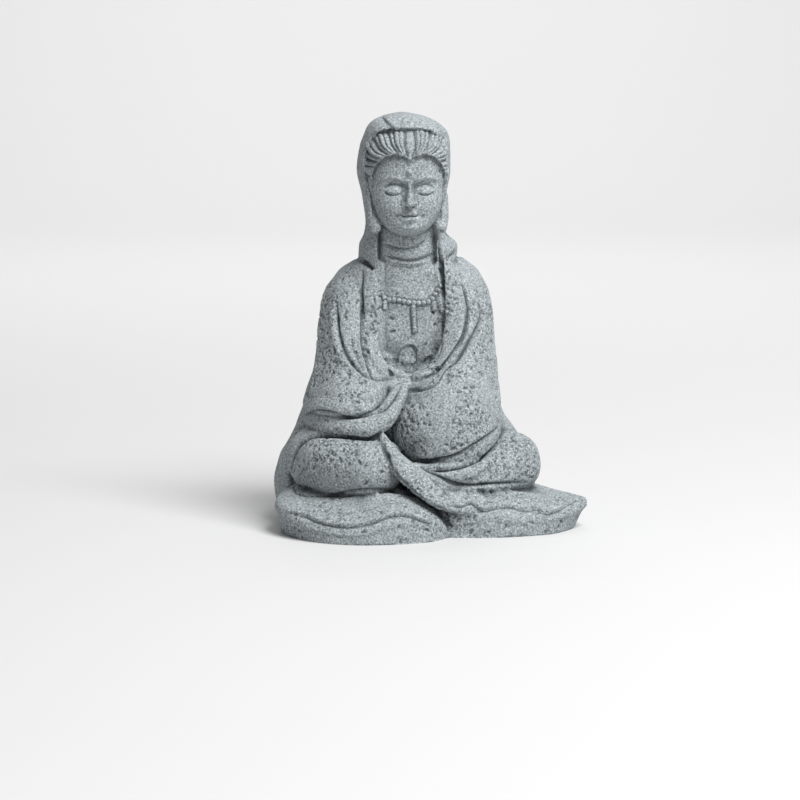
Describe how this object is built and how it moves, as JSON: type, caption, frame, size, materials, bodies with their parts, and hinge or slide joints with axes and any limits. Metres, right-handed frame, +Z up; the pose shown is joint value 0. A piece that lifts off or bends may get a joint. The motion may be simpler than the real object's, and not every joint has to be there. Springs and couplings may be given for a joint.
{
  "type": "avalokiteshvara statue",
  "caption": "Small seated Avalokiteshvara in a hooded robe, legs crossed, hands hidden in long sleeves, cast in one piece in grey sandstone resin.",
  "frame": {"origin": "on the flat underside, below the head", "axes": "+Z up, -Y towards somebody who faces the figure, +X to their right"},
  "size_m": [0.0725, 0.0604, 0.095],
  "materials": {
    "stone": "matt, pitted grey sandstone resin"
  },
  "bodies": {
    "root": {"figure": "stone"}
  },
  "joints": []
}
